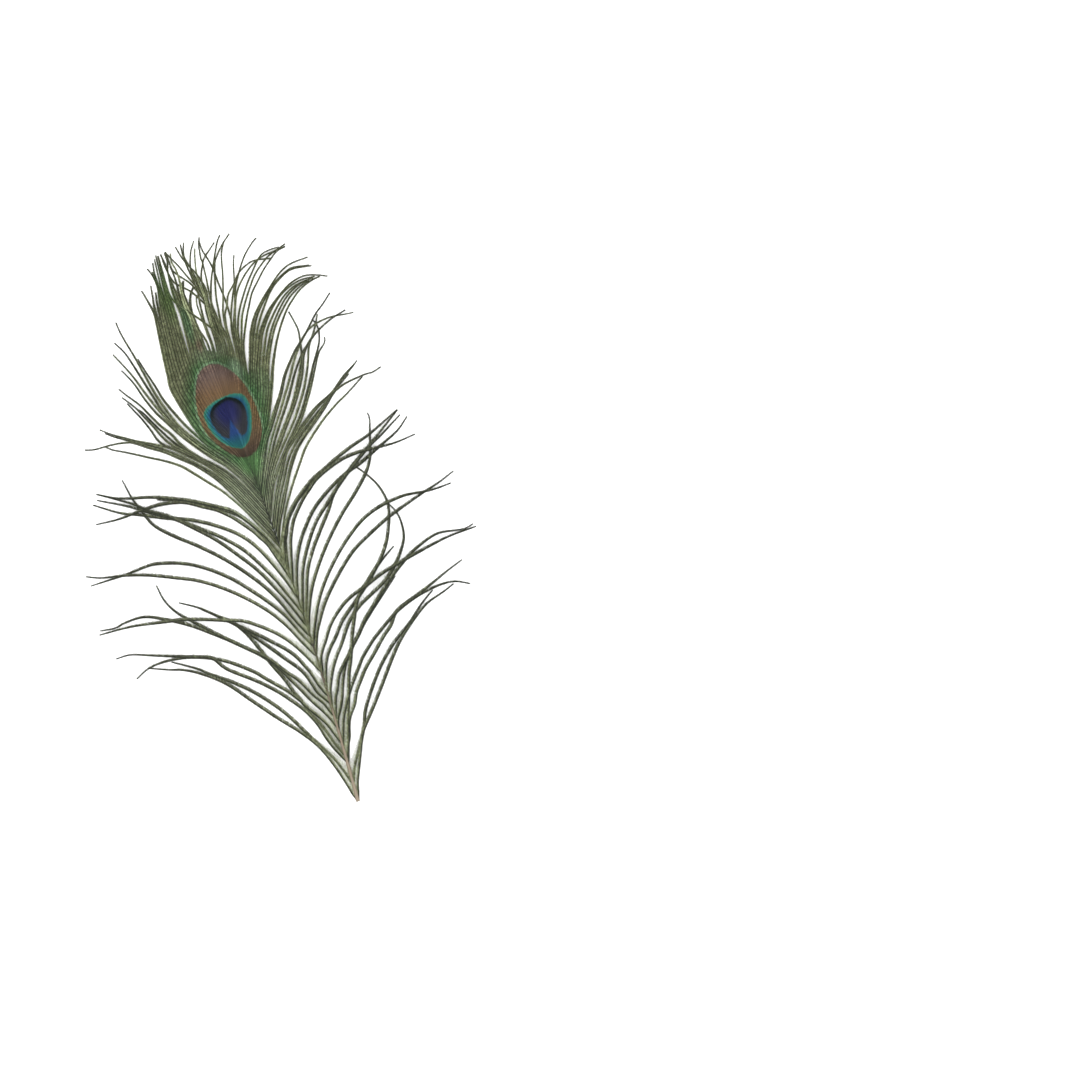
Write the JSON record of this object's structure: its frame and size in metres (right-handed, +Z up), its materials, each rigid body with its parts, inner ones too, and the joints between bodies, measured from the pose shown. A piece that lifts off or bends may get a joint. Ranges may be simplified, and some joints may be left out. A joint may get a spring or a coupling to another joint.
{
  "type": "peacock feather",
  "caption": "Peacock train feather with an eye, lying flat: bowed shaft, closed iridescent vane and long loose barbs.",
  "frame": {"origin": "middle of the box around the feather, on the surface that it lies on", "axes": "+Y along the shaft from its cut end towards the eye and tip, +X to the right seen from above, +Z up out of the feather's face"},
  "size_m": [0.1879, 0.281, 0.0058],
  "materials": {
    "barbs": "satin"
  },
  "bodies": {
    "root": {"feather": "barbs"}
  },
  "joints": []
}
